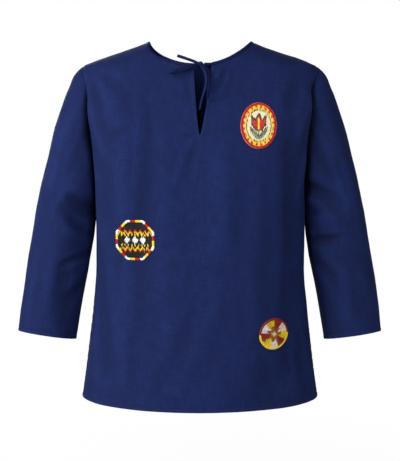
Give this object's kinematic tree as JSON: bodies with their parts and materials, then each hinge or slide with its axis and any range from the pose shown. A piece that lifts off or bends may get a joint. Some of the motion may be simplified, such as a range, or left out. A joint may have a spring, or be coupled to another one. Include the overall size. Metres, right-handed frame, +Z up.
{
  "type": "farmers smock",
  "caption": "Hollow pullover smock in plain navy cloth with a bound round neck, tied front slit, dropped forearm-length sleeves and sewn-on embroidered patches.",
  "frame": {"origin": "midway between the two points where the shoulder seams meet the neck edge, where the wearer's shoulders hold the garment", "axes": "+Z up along the body, -Y towards the front with the slit, +X towards the sleeve on the viewer's right"},
  "size_m": [0.725, 0.271, 0.7061],
  "materials": {
    "smock_cloth": "plain-woven navy cotton, matt",
    "binding_cloth": "bias-cut strip of the same navy cotton",
    "patch_bright": "satin-stitch embroidery in red, white and yellow",
    "patch_black": "embroidery on black twill with a coloured border",
    "patch_warm": "embroidery in dark red, yellow, white and brown"
  },
  "bodies": {
    "root": {"front": "smock_cloth", "back": "smock_cloth", "sleeve_left": "smock_cloth", "sleeve_right": "smock_cloth", "neck_binding": "binding_cloth", "tie_knot": "binding_cloth", "tie_root_left": "binding_cloth", "tie_root_right": "binding_cloth", "tie_end_upper": "binding_cloth", "tie_loop_left": "binding_cloth", "tie_loop_right": "binding_cloth", "tie_end_hanging": "binding_cloth", "patch_oval": "patch_bright", "patch_octagon": "patch_black", "patch_round": "patch_warm"}
  },
  "joints": []
}
